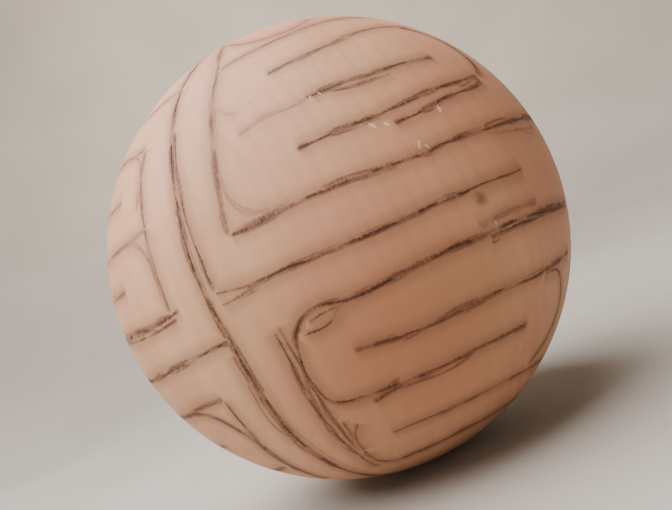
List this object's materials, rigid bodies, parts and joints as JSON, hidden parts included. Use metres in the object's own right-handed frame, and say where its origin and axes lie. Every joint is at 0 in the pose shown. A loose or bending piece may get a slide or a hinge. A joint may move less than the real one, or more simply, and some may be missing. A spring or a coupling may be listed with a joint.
{
  "type": "maze ball puzzle",
  "caption": "Hollow wooden ball with a pencilled maze outside and the walled maze inside, in which a small steel ball rolls; one half twists and pulls off.",
  "frame": {"origin": "centre of the ball", "axes": "+Z along the turning axis of the wood, up; +X square to the seam, out of the half that lifts off; the front of the seam is at -Y"},
  "size_m": [0.12, 0.12, 0.12],
  "materials": {
    "shell_wood": "bare turned wood, sanded, pencilled",
    "core_wood": "bare turned wood, sanded",
    "wall_wood": "bent strip, oiled",
    "ring_wood": "bent strip, waxed",
    "dowel_wood": "dowel, sanded",
    "steel": "polished bearing ball"
  },
  "bodies": {
    "fixed_half": {"core_left_half": "core_wood", "core_right_half": "core_wood", "fixed_half_shell": "shell_wood", "left_back_centre_tongue": "wall_wood", "left_back_lower_frame": "wall_wood", "left_back_lower_hairpin": "wall_wood", "left_back_upper_frame": "wall_wood", "left_back_upper_hairpin": "wall_wood", "left_back_upper_tongue": "wall_wood", "left_centre_tongue": "wall_wood", "left_lower_frame": "wall_wood", "left_lower_hook": "wall_wood", "left_lower_tongue": "wall_wood", "left_roof": "wall_wood", "left_spacer": "dowel_wood", "left_upper_frame": "wall_wood", "left_upper_hairpin": "wall_wood", "left_upper_tongue": "wall_wood", "right_back_centre_tongue": "wall_wood", "right_back_lower_frame": "wall_wood", "right_back_lower_hairpin": "wall_wood", "right_back_lower_tongue": "wall_wood", "right_back_upper_frame": "wall_wood", "right_back_upper_hairpin": "wall_wood", "right_back_upper_tongue": "wall_wood", "right_centre_tongue": "wall_wood", "right_lower_frame": "wall_wood", "right_lower_hairpin": "wall_wood", "right_lower_tongue": "wall_wood", "right_spacer": "dowel_wood", "right_upper_frame": "wall_wood", "right_upper_hairpin": "wall_wood", "right_upper_tongue": "wall_wood", "seam_disc": "wall_wood", "spindle": "dowel_wood"},
    "ring": {"joining_ring": "ring_wood"},
    "lift_off_half": {"lift_off_half_shell": "shell_wood"},
    "rolling_ball": {"steel_ball": "steel"}
  },
  "joints": [
    {"name": "twist", "type": "hinge", "parent": "fixed_half", "child": "ring", "pos_m": [0, 0, 0], "axis": [1, 0, 0], "continuous": true},
    {"name": "pull_off", "type": "slide", "parent": "ring", "child": "lift_off_half", "axis": [1, 0, 0], "range_m": [0, 0.075]},
    {"name": "ball_roll", "type": "hinge", "parent": "fixed_half", "child": "rolling_ball", "pos_m": [0, 0, 0], "axis": [0, 0, 1], "range_deg": [-14, 58]}
  ]
}
